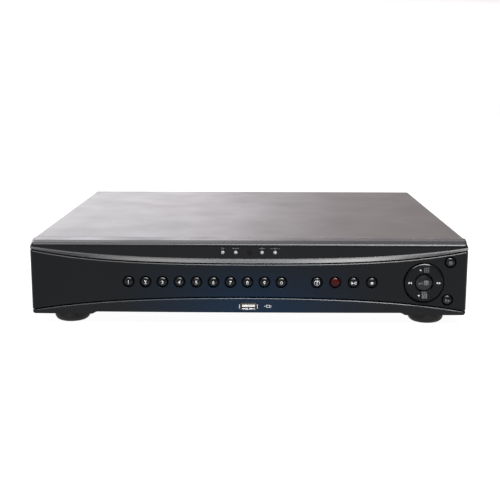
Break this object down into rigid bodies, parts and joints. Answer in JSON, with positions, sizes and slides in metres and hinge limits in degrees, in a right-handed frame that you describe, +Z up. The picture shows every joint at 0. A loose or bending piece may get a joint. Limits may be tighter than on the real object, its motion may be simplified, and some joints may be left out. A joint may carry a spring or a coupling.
{
  "type": "dvr recorder",
  "caption": "Standalone digital video recorder: low steel case, black bezel with keys, navigation pad, status lamps, front USB socket and rear video sockets.",
  "frame": {"origin": "on the standing surface, below the middle of the overall box", "axes": "+Z up, front towards -Y, +X to the right as seen from the front"},
  "size_m": [0.3836, 0.3537, 0.0712],
  "materials": {
    "aluminium": "extruded",
    "black_plastic": "moulded",
    "cable_grey": "flat cable",
    "cable_red": "flat data cable",
    "cast_aluminium": "die cast",
    "circuit_board": "green solder mask",
    "clear_plastic": "diffusing light pipe",
    "copper_windings": "yellow taped winding on ferrite",
    "cover_steel": "black-grey satin paint",
    "dark_window": "infrared pass",
    "front_plastic": "black satin moulding",
    "galvanised_steel": "galvanised sheet",
    "green_plastic": "moulded",
    "key_plastic": "black, printed",
    "nickel": "nickel plate",
    "panel_plastic": "black satin moulding",
    "red_plastic": "dark red",
    "rubber": "black rubber",
    "screw_steel": "zinc plate",
    "white_plastic": "moulded"
  },
  "bodies": {
    "recorder": {"alarm_terminal": "green_plastic", "audio_sockets": "black_plastic", "base_chassis": "galvanised_steel", "bnc_barrels": "nickel", "bnc_housings": "black_plastic", "capacitors": "black_plastic", "chips": "black_plastic", "control_panel": "panel_plastic", "data_cable": "cable_red", "drive_board": "circuit_board", "drive_casting": "cast_aluminium", "drive_power_cable": "black_plastic", "drive_screws": "screw_steel", "fan_frame": "black_plastic", "feet": "rubber", "foot_screws": "screw_steel", "front_bezel": "front_plastic", "front_diodes": "clear_plastic", "front_usb_shell": "nickel", "front_usb_tongue": "white_plastic", "heat_sink": "aluminium", "infrared_window": "dark_window", "inlet_wiring": "black_plastic", "key_board": "circuit_board", "lamp_lenses": "clear_plastic", "machine_screws": "screw_steel", "main_board": "circuit_board", "mains_inlet": "black_plastic", "network_socket": "nickel", "power_board": "circuit_board", "push_switches": "black_plastic", "rear_panel": "cover_steel", "ribbon_cable": "cable_grey", "rocker_housing": "black_plastic", "tapping_screws": "screw_steel", "top_cover": "cover_steel", "transformer": "copper_windings", "vga_socket": "nickel", "wire_headers": "white_plastic"},
    "key_0": {"key_0": "key_plastic"},
    "key_1": {"key_1": "key_plastic"},
    "key_2": {"key_2": "key_plastic"},
    "key_3": {"key_3": "key_plastic"},
    "key_4": {"key_4": "key_plastic"},
    "key_5": {"key_5": "key_plastic"},
    "key_6": {"key_6": "key_plastic"},
    "key_7": {"key_7": "key_plastic"},
    "key_8": {"key_8": "key_plastic"},
    "key_9": {"key_9": "key_plastic"},
    "key_info": {"key_info": "key_plastic"},
    "key_record": {"key_record": "red_plastic"},
    "key_play_pause": {"key_play_pause": "key_plastic"},
    "key_stop": {"key_stop": "key_plastic"},
    "key_menu": {"key_menu": "key_plastic"},
    "key_exit": {"key_exit": "key_plastic"},
    "key_enter": {"key_enter": "key_plastic"},
    "nav_ring": {"nav_ring": "key_plastic"},
    "nav_frame": {"nav_frame": "white_plastic"},
    "fan_rotor": {"fan_rotor": "black_plastic"},
    "power_rocker": {"power_rocker": "black_plastic"}
  },
  "joints": [
    {"name": "key_0_push", "type": "slide", "parent": "recorder", "child": "key_0", "axis": [0, 1, 0], "range_m": [0, 0.0006], "stiffness_N_per_m": 400},
    {"name": "key_1_push", "type": "slide", "parent": "recorder", "child": "key_1", "axis": [0, 1, 0], "range_m": [0, 0.0006], "stiffness_N_per_m": 400},
    {"name": "key_2_push", "type": "slide", "parent": "recorder", "child": "key_2", "axis": [0, 1, 0], "range_m": [0, 0.0006], "stiffness_N_per_m": 400},
    {"name": "key_3_push", "type": "slide", "parent": "recorder", "child": "key_3", "axis": [0, 1, 0], "range_m": [0, 0.0006], "stiffness_N_per_m": 400},
    {"name": "key_4_push", "type": "slide", "parent": "recorder", "child": "key_4", "axis": [0, 1, 0], "range_m": [0, 0.0006], "stiffness_N_per_m": 400},
    {"name": "key_5_push", "type": "slide", "parent": "recorder", "child": "key_5", "axis": [0, 1, 0], "range_m": [0, 0.0006], "stiffness_N_per_m": 400},
    {"name": "key_6_push", "type": "slide", "parent": "recorder", "child": "key_6", "axis": [0, 1, 0], "range_m": [0, 0.0006], "stiffness_N_per_m": 400},
    {"name": "key_7_push", "type": "slide", "parent": "recorder", "child": "key_7", "axis": [0, 1, 0], "range_m": [0, 0.0006], "stiffness_N_per_m": 400},
    {"name": "key_8_push", "type": "slide", "parent": "recorder", "child": "key_8", "axis": [0, 1, 0], "range_m": [0, 0.0006], "stiffness_N_per_m": 400},
    {"name": "key_9_push", "type": "slide", "parent": "recorder", "child": "key_9", "axis": [0, 1, 0], "range_m": [0, 0.0006], "stiffness_N_per_m": 400},
    {"name": "key_info_push", "type": "slide", "parent": "recorder", "child": "key_info", "axis": [0, 1, 0], "range_m": [0, 0.0006], "stiffness_N_per_m": 400},
    {"name": "key_record_push", "type": "slide", "parent": "recorder", "child": "key_record", "axis": [0, 1, 0], "range_m": [0, 0.0006], "stiffness_N_per_m": 400},
    {"name": "key_play_pause_push", "type": "slide", "parent": "recorder", "child": "key_play_pause", "axis": [0, 1, 0], "range_m": [0, 0.0006], "stiffness_N_per_m": 400},
    {"name": "key_stop_push", "type": "slide", "parent": "recorder", "child": "key_stop", "axis": [0, 1, 0], "range_m": [0, 0.0006], "stiffness_N_per_m": 400},
    {"name": "key_menu_push", "type": "slide", "parent": "recorder", "child": "key_menu", "axis": [0, 1, 0], "range_m": [0, 0.0006], "stiffness_N_per_m": 400},
    {"name": "key_exit_push", "type": "slide", "parent": "recorder", "child": "key_exit", "axis": [0, 1, 0], "range_m": [0, 0.0006], "stiffness_N_per_m": 400},
    {"name": "key_enter_push", "type": "slide", "parent": "recorder", "child": "key_enter", "axis": [0, 1, 0], "range_m": [0, 0.0006], "stiffness_N_per_m": 400},
    {"name": "nav_left_right", "type": "hinge", "parent": "recorder", "child": "nav_frame", "pos_m": [0.1512, -0.16861, 0.0371], "axis": [0, 0, 1], "range_deg": [-2.5, 2.5], "stiffness_Nm_per_rad": 0.15},
    {"name": "nav_up_down", "type": "hinge", "parent": "nav_frame", "child": "nav_ring", "pos_m": [0.1512, -0.16861, 0.0371], "axis": [1, 0, 0], "range_deg": [-2.5, 2.5], "stiffness_Nm_per_rad": 0.15},
    {"name": "fan_spin", "type": "hinge", "parent": "recorder", "child": "fan_rotor", "pos_m": [-0.098, 0.15235, 0.0392], "axis": [0, 1, 0], "continuous": true},
    {"name": "power_switch", "type": "hinge", "parent": "recorder", "child": "power_rocker", "pos_m": [-0.133, 0.16175, 0.0372], "axis": [0, 0, 1], "range_deg": [-16, 0]}
  ]
}
